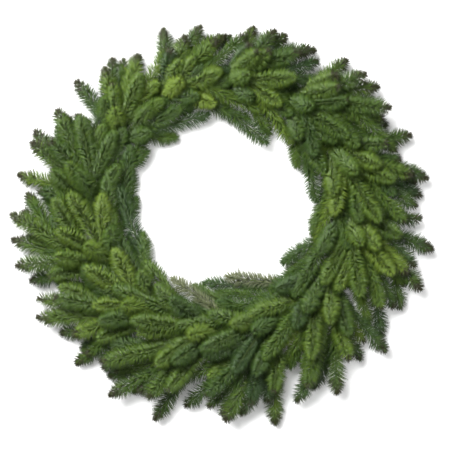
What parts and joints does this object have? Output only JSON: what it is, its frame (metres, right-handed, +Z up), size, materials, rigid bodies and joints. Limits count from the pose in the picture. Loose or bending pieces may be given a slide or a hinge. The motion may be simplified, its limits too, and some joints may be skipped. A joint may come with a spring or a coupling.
{
  "type": "evergreen wreath",
  "caption": "Round wreath of cut fir sprays held in the bent prongs of a wire ring, all sweeping clockwise round an open middle.",
  "frame": {"origin": "on the surface that the wreath lies on, under the middle of its outline", "axes": "+Z up out of the wreath's face, +Y towards the side that hangs at the top, +X to its right seen from above"},
  "size_m": [0.6064, 0.578, 0.1069],
  "materials": {
    "fir": "waxy green needles on green-brown twigs",
    "ring_wire": "dark green enamelled steel wire"
  },
  "bodies": {
    "root": {"clamp_ring": "ring_wire", "spray_outer_01": "fir", "spray_shoulder_01": "fir", "spray_crown_01": "fir", "spray_inner_01": "fir", "spray_outer_02": "fir", "spray_shoulder_02": "fir", "spray_crown_02": "fir", "spray_inner_02": "fir", "spray_outer_03": "fir", "spray_shoulder_03": "fir", "spray_crown_03": "fir", "spray_inner_03": "fir", "spray_outer_04": "fir", "spray_shoulder_04": "fir", "spray_crown_04": "fir", "spray_inner_04": "fir", "spray_outer_05": "fir", "spray_shoulder_05": "fir", "spray_crown_05": "fir", "spray_inner_05": "fir", "spray_outer_06": "fir", "spray_shoulder_06": "fir", "spray_crown_06": "fir", "spray_inner_06": "fir", "spray_outer_07": "fir", "spray_shoulder_07": "fir", "spray_crown_07": "fir", "spray_inner_07": "fir", "spray_outer_08": "fir", "spray_shoulder_08": "fir", "spray_crown_08": "fir", "spray_inner_08": "fir", "spray_outer_09": "fir", "spray_shoulder_09": "fir", "spray_crown_09": "fir", "spray_inner_09": "fir", "spray_outer_10": "fir", "spray_shoulder_10": "fir", "spray_crown_10": "fir", "spray_inner_10": "fir", "spray_outer_11": "fir", "spray_shoulder_11": "fir", "spray_crown_11": "fir", "spray_inner_11": "fir", "spray_outer_12": "fir", "spray_shoulder_12": "fir", "spray_crown_12": "fir", "spray_inner_12": "fir"}
  },
  "joints": []
}
